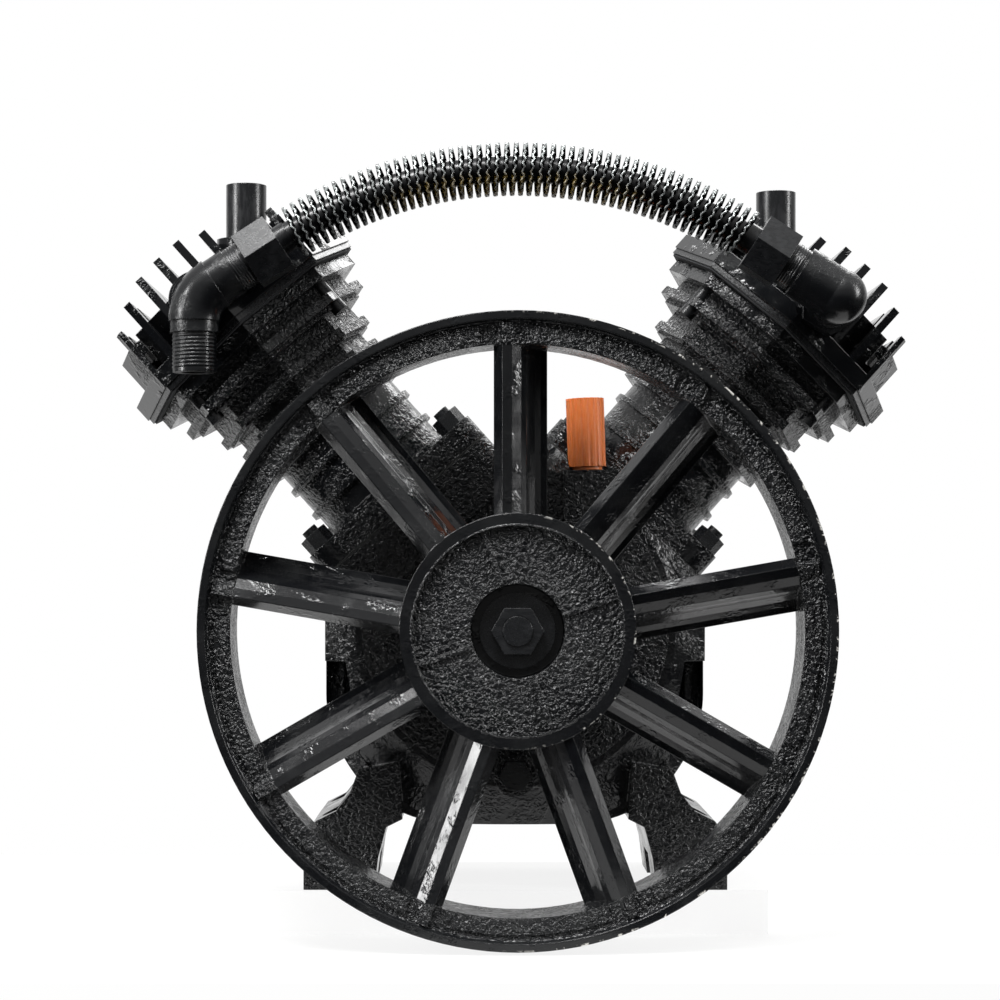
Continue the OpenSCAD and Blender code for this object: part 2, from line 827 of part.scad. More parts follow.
module sight_glass() {
    front = cover_y + cover_t + dome_h - sight_seat;
    amber = "#d8c88a";
    color(amber) translate([0, 0, sight_z]) along_y(front, front + sight_t, sight_r);
}

module sight_glass_bezel() {
    front = cover_y + cover_t + dome_h;
    color(steel) translate([0, 0, sight_z]) difference() {
        along_y(front, front + bezel_t, bezel_r);
        along_y(front - over, front + bezel_t + over, sight_r - sight_lip);
        along_y(front - over, front + sight_t - sight_seat + loose_gap, sight_r + loose_gap);
    }
}

module drain_plug() {
    face = case_front - drain_boss_h;
    color(black) translate([0, 0, crank_z - drain_drop]) {
        along_y(face - over, face + front_wall, plug_hole_r);
        translate([0, face, 0]) rotate([90, 0, 0]) cylinder(h = drain_head_h, r = drain_af * hex_share, $fn = 6);
    }
}

module filler_plug() {
    color(orange) on_filler() {
        difference() {
            translate([0, 0, plug_grip]) cylinder(h = plug_h, r = plug_r);
            for (i = [0 : flute_count - 1]) rotate([0, 0, i * 360 / flute_count])
                translate([plug_r + flute_r * flute_share, 0, 0])
                    cylinder(h = plug_h + plug_grip + over, r = flute_r, $fn = 24);
        }
        translate([0, 0, plug_seat]) cylinder(h = plug_seal_t, r = plug_r - plug_grip);
        translate([0, 0, -filler_neck_l]) cylinder(h = filler_neck_l + plug_grip, r = filler_neck_r);
    }
}

module stud_places() {
    for (x = [-1, 1], y = [-1, 1]) translate([x * stud_x, y * stud_y, 0]) children();
}

module base_gasket(side) {
    color(paper) on_bank(side) difference() {
        translate([0, 0, deck_u]) linear_extrude(gasket_t) flange_outline();
        translate([0, 0, deck_u - over]) cylinder(h = gasket_t + 2 * over, r = tower_bore_r);
        stud_places() translate([0, 0, deck_u - over]) cylinder(h = gasket_t + 2 * over, r = stud_r + loose_gap);
    }
}

module cylinder_block(side) {
    run = top_u - flange_top;
    color(black) on_bank(side) difference() {
        union() {
            translate([0, 0, flange_u]) linear_extrude(flange_t) flange_outline();
            translate([0, 0, spigot_u]) cylinder(h = top_u - spigot_u - over, r = spigot_r);
            translate([0, 0, flange_u]) cylinder(h = run, r = barrel_r);
            translate([0, 0, flange_top - over]) cylinder(h = barrel_foot_h, r = barrel_r + barrel_foot_step);
            for (s = rib_shares) translate([0, 0, flange_top + s * run])
                cylinder(h = rib_t, r = rib_share * head_r);
            for (i = [0 : len(core_shares) - 1])
                slab(flange_top + core_shares[i][0] * run, top_u, core_shares[i][1] * head_r);
            for (f = fin_shares) slab(flange_top + f[0] * run - f[2], flange_top + f[0] * run, f[1] * head_r);
        }
        translate([0, 0, spigot_u - over]) cylinder(h = top_u - spigot_u + 2 * over, r = bore_r);
        stud_places() {
            translate([0, 0, flange_u - over]) cylinder(h = flange_t + 2 * over, r = stud_r + loose_gap);
            translate([0, 0, flange_top]) cylinder(h = 2 * nut_h, r = stud_af * hex_share + over);
        }
        bolt_places() translate([0, 0, top_u - bolt_depth]) cylinder(h = bolt_depth + over, r = stud_r + loose_gap);
    }
}

module base_studs(side) {
    color(steel) on_bank(side) stud_places()
        translate([0, 0, deck_u - stud_depth])
            cylinder(h = stud_depth + gasket_t + flange_t + nut_h + stud_end, r = stud_r);
}

module base_nuts(side) {
    color(black) on_bank(side) stud_places() translate([0, 0, flange_top]) difference() {
        cylinder(h = nut_h, r = stud_af * hex_share, $fn = 6);
        translate([0, 0, -over]) cylinder(h = nut_h + 2 * over, r = stud_r + loose_gap);
    }
}

module bolt_places() {
    for (x = [-1, 1], y = [-1, 1]) translate([x * bolt_x, y * bolt_y, 0]) children();
}

module head_gasket(side) {
    color(paper) on_bank(side) difference() {
        slab(top_u, top_u + gasket_t, head_r - gasket_inset);
        translate([0, 0, top_u - over]) cylinder(h = gasket_t + 2 * over, r = bore_r + over);
        bolt_places() translate([0, 0, top_u - over]) cylinder(h = gasket_t + 2 * over, r = stud_r + loose_gap);
    }
}

module valve_plate(side) {
    color(steel) on_bank(side) difference() {
        slab(plate_u, head_u, head_r - gasket_inset / 2);
        for (p = port_places) translate([p[0], p[1], plate_u - over])
            cylinder(h = valve_plate_t + 2 * over, r = valve_hole_r);
        bolt_places() translate([0, 0, plate_u - over])
            cylinder(h = valve_plate_t + 2 * over, r = stud_r + loose_gap);
    }
}

// Suction strip below the plate and discharge strip with its stop above it
module reed_valves(side) {
    color(alloy) on_bank(side) translate([0, -reed_l / 2, 0]) {
        translate([suction_x - reed_w / 2, 0, plate_u - reed_t]) cube([reed_w, reed_l, reed_t]);
        translate([discharge_x - reed_w / 2, 0, head_u]) cube([reed_w, reed_l, reed_t]);
        translate([discharge_x - reed_w / 2 + reed_stop_inset, 0, head_u + reed_t])
            cube([reed_w - 2 * reed_stop_inset, reed_l, 4 * reed_t]);
    }
}

module on_intake(side, z) {
    translate([side * intake_x, side * bank_shift, z]) children();
}

module head_outside(side) {
    on_bank(side) {
        slab(head_u, head_flange_u, head_r);
        slab(head_flange_u - over, head_top, head_body_r);
        intersection() {
            head_fin_plates();
            slab(head_u, head_top + fin_rise + over, head_r);
        }
        translate([port_x, 0, port_u]) along_y(-head_face, 0, port_boss_r);
    }
    on_intake(side, intake_base) cylinder(h = intake_boss_h, r = intake_boss_r);
}

// Room that the tee and its leg take out of the left head
module tee_room() {
    on_corner(-1) {
        translate([0, 0, -outlet_drop - outlet_l]) cylinder(h = outlet_l + outlet_drop, r = fitting_r + over / 2);
        corner_bend(fitting_r + over / 2);
        arch_leg(0, nut_end, fitting_r + over / 4);
    }
}

module head(side) {
    color(black) difference() {
        head_outside(side);
        on_bank(side) {
            chamber(-bolt_x + chamber_wall, -chamber_rib);
            chamber(chamber_rib, bolt_x - chamber_wall);
            translate([port_x, 0, port_u]) {
                along_y(-2 * head_r, -port_depth, port_r);
                along_y(-2 * head_r, -head_face + socket_l, outlet_r + loose_gap);
                along_y(-2 * head_r, -head_face, side < 0 ? fitting_r : collar_af * hex_share + over / 2);
            }
            bolt_places() {
                translate([0, 0, head_u - over]) cylinder(h = head_top, r = stud_r + loose_gap);
                translate([0, 0, bolt_seat_u]) cylinder(h = head_top, r = bolt_pocket_r);
            }
        }
        if (side < 0) tee_room();
        on_intake(side, intake_mouth - intake_seat)
            cylinder(h = intake_seat + over, r = intake_r - intake_step + loose_gap);
        on_intake(side, intake_mouth) cylinder(h = intake_l, r = intake_clear_r);
        on_intake(side, intake_base - over) cylinder(h = intake_boss_h, r = intake_r - intake_bore_wall);
    }
}

module chamber(x0, x1) {
    translate([x0, -chamber_half, head_u - over]) cube([x1 - x0, 2 * chamber_half, chamber_h + over]);
}

module head_fin_plates() {
    for (f = head_fins)
        translate([f[0] * head_fin_pitch - head_fin_t / 2, -head_body_r + fin_inset, head_flange_u - over])
            cube([head_fin_t, head_r + head_body_r, head_body_h + over + f[1] * fin_rise]);
}

module head_bolts(side) {
    color(steel) on_bank(side) bolt_places() translate([0, 0, bolt_seat_u]) {
        cylinder(h = bolt_head_h, r = stud_af * hex_share, $fn = 6);
        translate([0, 0, top_u - bolt_depth + bolt_end_gap - bolt_seat_u])
            cylinder(h = bolt_seat_u - top_u + bolt_depth - bolt_end_gap + over, r = stud_r);
    }
}

module intake_pipe(side) {
    color(black) on_intake(side, intake_mouth) difference() {
        union() {
            cylinder(h = intake_l, r = intake_r);
            translate([0, 0, -intake_seat]) cylinder(h = intake_seat + over, r = intake_r - intake_step);
        }
        translate([0, 0, -intake_seat - over])
            cylinder(h = intake_seat + intake_l + 2 * over, r = intake_r - intake_wall);
    }
}

// Leg towards the arch, drawn along Z from the corner
module arch_leg(s0, s1, r) {
    rotate([0, 90 - pipe_slope, 0]) translate([0, 0, s0]) cylinder(h = s1 - s0, r = r);
}

// Bend from straight down to the arch's slope
module corner_bend(r) {
    translate([bend_r, 0, -bend_cut]) rotate([90, 0, 0]) rotate([0, 0, 90 + pipe_slope])
        rotate_extrude(angle = 90 - pipe_slope) translate([bend_r, 0]) circle(r);
}

module discharge_tee() {
    head_front = -bank_shift - head_face - line_y;
    color(black) on_corner(-1) difference() {
        union() {
            corner_bend(fitting_r);
            translate([0, 0, -outlet_drop]) cylinder(h = outlet_drop - bend_cut + 3 * over, r = fitting_r - leg_step);
            translate([0, 0, -outlet_drop - outlet_l]) cylinder(h = outlet_l + over, r = outlet_r);
            arch_leg(bend_cut - 3 * over, nut_start - male_neck, fitting_r - leg_step);
            arch_leg(nut_start - male_l, nut_start + male_l, male_r);
            along_y(-over, head_front, fitting_r - 2 * leg_step);
            along_y(-over, head_front + spigot_in, outlet_r);
        }
        corner_bend(port_r);
        translate([0, 0, -outlet_drop - outlet_l - over])
            cylinder(h = outlet_drop + outlet_l + 4 * over - bend_cut, r = port_r - leg_step);
        arch_leg(bend_cut - 3 * over, nut_start + male_l + over, port_r - leg_step);
        along_y(-over, head_front + spigot_in + over, port_r - 2 * leg_step);
    }
}

module discharge_elbow() {
    head_front = bank_shift - head_face - line_y;
    color(black) on_corner(1) difference() {
        union() {
            sphere(fitting_r + 2 * elbow_step, $fn = 48);
            arch_leg(0, nut_start - male_neck, fitting_r + elbow_step);
            arch_leg(nut_start - male_l, nut_start + male_l, male_r);
            along_y(-over, head_front, fitting_r);
            along_y(-over, head_front + spigot_in, outlet_r);
            translate([0, head_front, 0]) rotate([90, 30, 0])
                cylinder(h = collar_w, r = collar_af * hex_share, $fn = 6);
        }
        sphere(port_r + 2 * elbow_step, $fn = 32);
        arch_leg(0, nut_start + male_l + over, port_r);
        along_y(-over, head_front + spigot_in + over, port_r);
    }
}

module pipe_nut(side) {
    color(black) on_corner(side) difference() {
        rotate([0, 90 - pipe_slope, 0]) translate([0, 0, nut_start]) rotate([0, 0, 30])
            cylinder(h = pipe_nut_l, r = pipe_nut_af * hex_share, $fn = 6);
        arch_leg(nut_start - over, nut_start + male_l + loose_gap, male_r + loose_gap);
        arch_leg(nut_start, nut_end + over, pipe_r + leg_step + loose_gap);
    }
}

module on_arch() {
    translate([0, line_y, arch_z]) rotate([90, 0, 0]) children();
}

module crossover_pipe() {
    sleeve_start = nut_start + male_l + sleeve_step;
    color(black) {
        on_arch() rotate([0, 0, 90 - pipe_slope]) rotate_extrude(angle = 2 * pipe_slope, $fn = 120)
            translate([arch_fit_r, 0]) pipe_section();
        for (side = [-1, 1]) on_corner(side) rotate([0, 90 - pipe_slope, 0]) translate([0, 0, sleeve_start])
            linear_extrude(arch_end - sleeve_start + sleeve_lap) difference() {
                circle(pipe_r + leg_step);
                circle(pipe_r - pipe_wall - leg_step);
            }
    }
}

module pipe_section() {
    difference() {
        circle(pipe_r, $fn = 32);
        circle(pipe_r - pipe_wall, $fn = 32);
    }
}

module crossover_fins() {
    reach = pipe_slope - fin_end_angle;
    color(iron) on_arch() for (i = [0 : fin_count - 1])
        rotate([0, 0, 90 - reach + 2 * reach * i / (fin_count - 1)]) translate([arch_fit_r, 0, 0])
            rotate([90, 0, 0]) translate([0, 0, -fin_t / 2]) difference() {
                cylinder(h = fin_t, r = fin_r, $fn = 48);
                translate([0, 0, -over]) cylinder(h = fin_t + 2 * over, r = pipe_r - fin_bite);
            }
}

module on_piston(side) {
    on_bank(side) translate([0, 0, wrist_u]) children();
}

module ring_stack(outer, inner, extra) {
    for (p = rings) translate([0, 0, crown_h - p[0] - extra]) difference() {
        cylinder(h = p[1] + 2 * extra, r = outer);
        translate([0, 0, -over]) cylinder(h = p[1] + 2 * extra + 2 * over, r = inner);
    }
}

module piston(side) {
    boss_gap = rod_w / 2 + boss_side_gap;
    hollow = skirt_l + crown_h - crown_t + over;
    color(alloy) on_piston(side) difference() {
        union() {
            difference() {
                translate([0, 0, -skirt_l]) cylinder(h = skirt_l + crown_h, r = piston_r);
                translate([0, 0, -skirt_l - over]) cylinder(h = hollow, r = piston_r - skirt_wall);
            }
            intersection() {
                along_y(-piston_r, piston_r, small_end_r);
                translate([0, 0, -skirt_l])
                    cylinder(h = skirt_l + crown_h - over, r = piston_r - piston_boss_inset);
            }
        }
        translate([-piston_r / 2, -boss_gap, -skirt_l - over]) cube([piston_r, 2 * boss_gap, hollow]);
        along_y(-piston_r - over, piston_r + over, wrist_r + running_gap);
        ring_stack(piston_r + over, piston_r - ring_depth - ring_back_gap, ring_side_gap);
    }
}

module piston_rings(side) {
    color(iron) on_piston(side) ring_stack(ring_r, piston_r - ring_depth, 0);
}

module wrist_pin(side) {
    reach = piston_r - pin_end_gap;
    color(steel) on_piston(side) difference() {
        along_y(-reach, reach, wrist_r);
        along_y(-reach - over, reach + over, wrist_r - pin_wall);
    }
}

// Frame of a rod: from the wrist pin down to the crankpin
module on_rod(side) {
    on_piston(side) rotate([0, rod_tilt, 0]) children();
}

module connecting_rod(side) {
    shank_half = small_end_r - shank_inset;
    shank_foot = crankpin_r + shank_inset;
    pocket_half = small_end_r / 2 - pocket_inset / 2;
    pocket_foot = big_end_r + pocket_gap;
    color(alloy) on_rod(side) difference() {
        union() {
            along_y(-rod_w / 2, rod_w / 2, small_end_r);
            translate([0, 0, -rod_l]) along_y(-rod_half, rod_half, big_end_r);
            translate([-shank_half, -rod_w / 4, -rod_l + shank_foot])
                cube([2 * shank_half, rod_w / 2, rod_l - shank_foot - wrist_r - pocket_inset]);
            translate([0, 0, -rod_l - big_end_r - dipper_l]) cylinder(h = dipper_l + pocket_gap, r = dipper_r);
        }
        along_y(-rod_w, rod_w, wrist_r + running_gap);
        translate([0, 0, -rod_l]) along_y(-rod_w, rod_w, crankpin_r + running_gap);
        for (y = [-1, 1]) translate([-pocket_half, y > 0 ? rod_w / 8 : -rod_w / 8 - rod_w, -rod_l + pocket_foot])
            cube([2 * pocket_half, rod_w, rod_l - pocket_foot - shank_top]);
    }
}

// One half of the crankpin, inside a rod's big end
module crankpin_journal(side) {
    half = bank_shift - journal_gap;
    color(steel) on_rod(side) translate([0, 0, -rod_l]) difference() {
        along_y(-half, half, crankpin_r);
        along_y(-half - over, half + over, crankpin_r * journal_hole_share);
    }
}

crankcase();
front_oil_seal();
color(steel) front_bearing("outer");  // front_bearing_outer
color(steel) front_bearing("inner");  // front_bearing_inner
color(steel) front_bearing("balls");  // front_bearing_balls
color(steel) rear_bearing("outer");  // rear_bearing_outer
color(steel) rear_bearing("inner");  // rear_bearing_inner
color(steel) rear_bearing("balls");  // rear_bearing_balls
rear_cover();
rear_cover_gasket();
rear_cover_bolts();
sight_glass();
sight_glass_bezel();
drain_plug();
filler_plug();
flywheel();
crankshaft();
flywheel_key();
flywheel_washer();
flywheel_nut();
base_gasket(-1);  // base_gasket_left
base_gasket(1);  // base_gasket_right
cylinder_block(-1);  // cylinder_left
cylinder_block(1);  // cylinder_right
base_studs(-1);  // base_studs_left
base_studs(1);  // base_studs_right
base_nuts(-1);  // base_nuts_left
base_nuts(1);  // base_nuts_right
head_gasket(-1);  // head_gasket_left
head_gasket(1);  // head_gasket_right
valve_plate(-1);  // valve_plate_left
valve_plate(1);  // valve_plate_right
reed_valves(-1);  // reed_valves_left
reed_valves(1);  // reed_valves_right
head(-1);  // head_left
head(1);  // head_right
head_bolts(-1);  // head_bolts_left
head_bolts(1);  // head_bolts_right
intake_pipe(-1);  // intake_pipe_left
intake_pipe(1);  // intake_pipe_right
discharge_tee();
discharge_elbow();
pipe_nut(-1);  // pipe_nut_left
pipe_nut(1);  // pipe_nut_right
crossover_pipe();
crossover_fins();
piston(-1);  // piston_left
piston(1);  // piston_right
piston_rings(-1);  // piston_rings_left
piston_rings(1);  // piston_rings_right
wrist_pin(-1);  // wrist_pin_left
wrist_pin(1);  // wrist_pin_right
connecting_rod(-1);  // connecting_rod_left
connecting_rod(1);  // connecting_rod_right
crankpin_journal(-1);  // crankpin_journal_left
crankpin_journal(1);  // crankpin_journal_right
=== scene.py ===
import math

import bmesh
import bpy
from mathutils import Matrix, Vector


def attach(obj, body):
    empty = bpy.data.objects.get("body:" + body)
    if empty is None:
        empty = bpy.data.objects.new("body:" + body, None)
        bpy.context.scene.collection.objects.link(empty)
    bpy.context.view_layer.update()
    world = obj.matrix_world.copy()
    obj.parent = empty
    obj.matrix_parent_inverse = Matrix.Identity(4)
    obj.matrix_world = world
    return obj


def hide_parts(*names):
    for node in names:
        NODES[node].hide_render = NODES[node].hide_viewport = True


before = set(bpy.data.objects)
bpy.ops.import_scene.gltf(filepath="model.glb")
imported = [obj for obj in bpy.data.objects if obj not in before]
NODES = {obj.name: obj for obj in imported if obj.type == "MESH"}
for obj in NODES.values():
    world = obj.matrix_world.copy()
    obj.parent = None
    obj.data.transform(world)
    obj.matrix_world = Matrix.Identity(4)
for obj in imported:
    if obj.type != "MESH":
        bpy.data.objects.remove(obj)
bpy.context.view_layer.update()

MM = 0.001

# Places of the pump, in millimetres, as the part's source has them
CRANK_Z = 130
WHEEL_R = 150
WHEEL_FRONT = -118
HUB_R = 55.4
HUB_FACE_R = 50
POCKET_R = 22
RIM_BORE_R = 134.15
RIM_PAD_R = 145
CASE_FRONT = -48.5
BARREL_R = 39.5
RECESS_R = 56
BANK_ANGLE = math.radians(42)
BANK_SHIFT = 12
LINE_Y = -85
CORNER_X = 154.83
CORNER_Z = 290.0
ARCH_R = 203.74
ARCH_Z = 147.61
ARCH_HALF = math.radians(32.4)
PIPE_R = 6.5
FIN_R = 12.8
FIN_TURNS = 54
PIPE_SLOPE = math.radians(33)
OUTLET_R = 10.4
LINE_END_R = 10.95

NOISE = "ShaderNodeTexNoise"
RANGE = "ShaderNodeMapRange"
MATH = "ShaderNodeMath"
VECTOR = "ShaderNodeVectorMath"
MIX = "ShaderNodeMix"
PARTS = "ShaderNodeSeparateXYZ"
SOFT = {"interpolation_type": "SMOOTHSTEP"}


# Colours and nodes

def paint(code):
    """An sRGB hex colour as the linear one that the shader takes."""
    parts = [int(code[i:i + 2], 16) / 255 for i in (1, 3, 5)]
    return [c / 12.92 if c <= 0.04045 else ((c + 0.055) / 1.055) ** 2.4 for c in parts] + [1]


def lay(tree, kind, sockets=None, **settings):
    """One node with its settings; sockets gives an input a value, or the output it is fed from."""
    made = tree.nodes.new(kind)
    for name, value in settings.items():
        setattr(made, name, value)
    for key, value in (sockets or {}).items():
        if isinstance(value, bpy.types.NodeSocket):
            tree.links.new(value, made.inputs[key])
        else:
            made.inputs[key].default_value = value
    return made.outputs[0]


def begin(name, **sockets):
    """A new material, its shader with plain values set on it, and the place on the piece in metres."""
    material = bpy.data.materials.new(name)
    material.use_nodes = True
    tree = material.node_tree
    shader = tree.nodes["Principled BSDF"]
    for key, value in sockets.items():
        shader.inputs[key.replace("_", " ")].default_value = value
    place = tree.nodes.new("ShaderNodeTexCoord").outputs["Object"]
    return material, tree, shader, place


def from_wheel_axis(tree, place):
    """Distance in metres from the crank's axis."""
    moved = lay(tree, VECTOR, {0: place, 1: (0, 0, CRANK_Z * MM)}, operation="SUBTRACT")
    flat = lay(tree, VECTOR, {0: moved, 1: (1, 0, 1)}, operation="MULTIPLY")
    return lay(tree, VECTOR, {0: flat}, operation="LENGTH").node.outputs["Value"]


def dress(tree, shader, amount, low, high, gloss, layers, edge_mm):
    """Colour between two hex values, gloss, and heights in millimetres laid over each other on edges
    that the paint or the tool has softened."""
    colour = lay(tree, MIX, {"Factor": amount, "A": paint(low), "B": paint(high)}, data_type="RGBA")
    tree.links.new(colour.node.outputs["Result"], shader.inputs["Base Color"])
    tree.links.new(gloss, shader.inputs["Roughness"])
    normal = lay(tree, "ShaderNodeBevel", {"Radius": edge_mm * MM}, samples=6)
    for height, tall_mm in layers:
        normal = lay(tree, "ShaderNodeBump",
                     {"Height": height, "Distance": tall_mm * MM, "Strength": 1.0, "Normal": normal})
    tree.links.new(normal, shader.inputs["Normal"])


# Finishes

def enamel(name, grain=None, grain_mm=1.5, grain_tall=0.6, peel_tall=0.03, rough=0.16, edge_mm=0.7):
    """Black air-drying enamel brushed and sprayed over sand-cast grey iron: wet gloss with a slow
    orange peel, and the grains of the sand skin standing through it where grain says so. The grains
    are drawn about twice as coarse as real ones, so that they show."""
    material, tree, shader, place = begin(name, IOR=1.47, Metallic=0.0)
    cloud = lay(tree, NOISE, {"Vector": place, "Scale": 1 / (22 * MM), "Detail": 3, "Roughness": 0.6})
    peel = lay(tree, NOISE, {"Vector": place, "Scale": 1 / (3.2 * MM), "Detail": 2})
    sand = lay(tree, NOISE, {"Vector": place, "Scale": 1 / (grain_mm * MM),
                             "Detail": 1.5, "Roughness": 0.55, "Distortion": 0.6})
    sand = lay(tree, RANGE, {0: sand, 1: 0.3, 2: 0.7}, **SOFT)
    mask = grain(tree, place) if grain else lay(tree, RANGE, {0: cloud, 1: 0.52, 2: 0.62}, **SOFT)
    amount = lay(tree, RANGE, {0: cloud, 1: 0.4, 2: 0.75}, **SOFT)
    gloss = lay(tree, RANGE, {0: cloud, 1: 0.35, 2: 0.7, 3: rough, 4: rough + 0.12}, **SOFT)
    duller = lay(tree, MATH, {0: mask, 1: 0.06}, operation="MULTIPLY")
    gloss = lay(tree, MATH, {0: gloss, 1: duller}, operation="ADD")
    skin = lay(tree, MATH, {0: sand, 1: mask}, operation="MULTIPLY")
    dress(tree, shader, amount, "#0b0c0e", "#151617", gloss, [(peel, peel_tall), (skin, grain_tall)],
          edge_mm)
    return material, tree, shader, place


def wheel_grain(tree, place):
    """The sand skin of the hub's face and of the pads inside the rim; lands and spokes are smooth."""
    radius = from_wheel_axis(tree, place)
    edge = 0.5 * MM
    hub = lay(tree, RANGE, {0: radius, 1: HUB_FACE_R * MM + edge, 2: HUB_FACE_R * MM - edge}, **SOFT)
    pocket = lay(tree, RANGE, {0: radius, 1: POCKET_R * MM - edge, 2: POCKET_R * MM + edge}, **SOFT)
    hub = lay(tree, MATH, {0: hub, 1: pocket}, operation="MULTIPLY")
    inner = lay(tree, RANGE, {0: radius, 1: (RIM_BORE_R - 0.35) * MM, 2: (RIM_BORE_R + 0.35) * MM},
                **SOFT)
    outer = lay(tree, RANGE, {0: radius, 1: RIM_PAD_R * MM + edge, 2: RIM_PAD_R * MM - edge}, **SOFT)
    rim = lay(tree, MATH, {0: inner, 1: outer}, operation="MULTIPLY")
    cloud = lay(tree, NOISE, {"Vector": place, "Scale": 1 / (9 * MM), "Detail": 2})
    patchy = lay(tree, RANGE, {0: cloud, 1: 0.5, 2: 0.66, 3: 0.0, 4: 0.14}, **SOFT)
    both = lay(tree, MATH, {0: hub, 1: rim}, operation="MAXIMUM")
    return lay(tree, MATH, {0: both, 1: patchy}, operation="MAXIMUM")


def wheel_enamel():
    """Flywheel: enamel, chipped to the primer and iron along the outer lip and the hub's rim; the pale
    chips are kept to the right-hand side, where they are also a painted highlight on the lip.
    """
    material, tree, shader, place = enamel("black_enamel_on_sand_cast_wheel", wheel_grain, 2.0, 0.9,
                                           0.03, 0.12, 0.8)
    radius = from_wheel_axis(tree, place)
    parts = lay(tree, PARTS, {0: place}).node.outputs
    near_front = lay(tree, RANGE, {0: parts["Y"], 1: (WHEEL_FRONT + 1.2) * MM,
                                   2: (WHEEL_FRONT + 0.2) * MM}, **SOFT)
    lip = lay(tree, RANGE, {0: radius, 1: (WHEEL_R - 1.3) * MM, 2: (WHEEL_R - 0.4) * MM}, **SOFT)
    hub_out = lay(tree, RANGE, {0: radius, 1: (HUB_R - 1.3) * MM, 2: (HUB_R - 0.3) * MM}, **SOFT)
    hub_end = lay(tree, RANGE, {0: radius, 1: (HUB_R + 0.6) * MM, 2: (HUB_R + 0.2) * MM}, **SOFT)
    hub_rim = lay(tree, MATH, {0: hub_out, 1: hub_end}, operation="MULTIPLY")
    rims = lay(tree, MATH, {0: lip, 1: hub_rim}, operation="MAXIMUM")
    rims = lay(tree, MATH, {0: rims, 1: near_front}, operation="MULTIPLY")
    # The pale chips are kept to the right-hand side: wear there, and a painted highlight on that side
    # of the lip.
    right = lay(tree, RANGE, {0: parts["X"], 1: -20 * MM, 2: 50 * MM}, **SOFT)
    chips_and_painted_highlight = lay(tree, NOISE, {"Vector": place, "Scale": 1 / (3.4 * MM),
                              "Detail": 3, "Roughness": 0.65, "Distortion": 0.8})
    chips_and_painted_highlight = lay(tree, RANGE, {0: chips_and_painted_highlight, 1: 0.56, 2: 0.6}, **SOFT)
    chips_and_painted_highlight = lay(tree, MATH, {0: chips_and_painted_highlight, 1: right}, operation="MULTIPLY")
    # Wear and painted highlight together, on the lip and the hub's rim.
    worn_and_painted_highlight = lay(tree, MATH, {0: rims, 1: chips_and_painted_highlight}, operation="MULTIPLY")
    painted = shader.inputs["Base Color"].links[0].from_socket
    mixed = lay(tree, MIX, {"Factor": worn_and_painted_highlight, "A": painted, "B": paint("#b9b7b2")}, data_type="RGBA")
    tree.links.new(mixed.node.outputs["Result"], shader.inputs["Base Color"])
    return material


def case_grain(tree, place):
    """The crankcase keeps its sand skin on the front disc, the deck edges and the feet."""
    parts = lay(tree, PARTS, {0: place}).node.outputs
    front = lay(tree, RANGE, {0: parts["Y"], 1: (CASE_FRONT + 1) * MM, 2: (CASE_FRONT - 1) * MM},
                **SOFT)
    front = lay(tree, MATH, {0: front, 1: 0.85}, operation="MULTIPLY")
    cloud = lay(tree, NOISE, {"Vector": place, "Scale": 1 / (12 * MM), "Detail": 2})
    cloud = lay(tree, RANGE, {0: cloud, 1: 0.45, 2: 0.62, 3: 0.1, 4: 0.8}, **SOFT)
    return lay(tree, MATH, {0: front, 1: cloud}, operation="MAXIMUM")


def between_fins(side):
    """The cylinder's sand skin lies in the recesses between its fins; the fins' edges are smooth."""
    def grain(tree, place):
        axis = (side * math.sin(BANK_ANGLE), 0, math.cos(BANK_ANGLE))
        moved = lay(tree, VECTOR, {0: place, 1: (0, side * BANK_SHIFT * MM, CRANK_Z * MM)},
                    operation="SUBTRACT")
        cross = lay(tree, VECTOR, {0: moved, 1: axis}, operation="CROSS_PRODUCT")
        away = lay(tree, VECTOR, {0: cross}, operation="LENGTH").node.outputs["Value"]
        barrel = lay(tree, RANGE, {0: away, 1: (BARREL_R - 1) * MM, 2: (BARREL_R + 1) * MM}, **SOFT)
        inner = lay(tree, RANGE, {0: away, 1: (RECESS_R + 2.5) * MM, 2: (RECESS_R - 2.5) * MM},
                    **SOFT)
        recess = lay(tree, MATH, {0: barrel, 1: inner}, operation="MULTIPLY")
        cloud = lay(tree, NOISE, {"Vector": place, "Scale": 1 / (14 * MM), "Detail": 2})
        cloud = lay(tree, RANGE, {0: cloud, 1: 0.42, 2: 0.6, 3: 0.1, 4: 0.75}, **SOFT)
        return lay(tree, MATH, {0: recess, 1: cloud}, operation="MAXIMUM")
    return grain


def machined_black(name, along, rough=0.24):
    """Machined steel under thin black paint: the cutter's marks still show as fine lines."""
    material, tree, shader, place = begin(name, IOR=1.52, Metallic=0.0)
    drawn = lay(tree, VECTOR, {0: place, 1: along}, operation="MULTIPLY")
    lines = lay(tree, NOISE, {"Vector": drawn, "Scale": 1 / (1.1 * MM), "Detail": 3, "Roughness": 0.6})
    cloud = lay(tree, NOISE, {"Vector": place, "Scale": 1 / (8 * MM), "Detail": 3, "Roughness": 0.6})
    fine = lay(tree, NOISE, {"Vector": place, "Scale": 1 / (2.6 * MM), "Detail": 2})
    amount = lay(tree, RANGE, {0: cloud, 1: 0.45, 2: 0.72}, **SOFT)
    gloss = lay(tree, RANGE, {0: lines, 1: 0.3, 2: 0.7, 3: rough, 4: rough + 0.16}, **SOFT)
    dress(tree, shader, amount, "#101113", "#1f2022", gloss, [(lines, 0.035), (fine, 0.025)], 0.45)
    return material


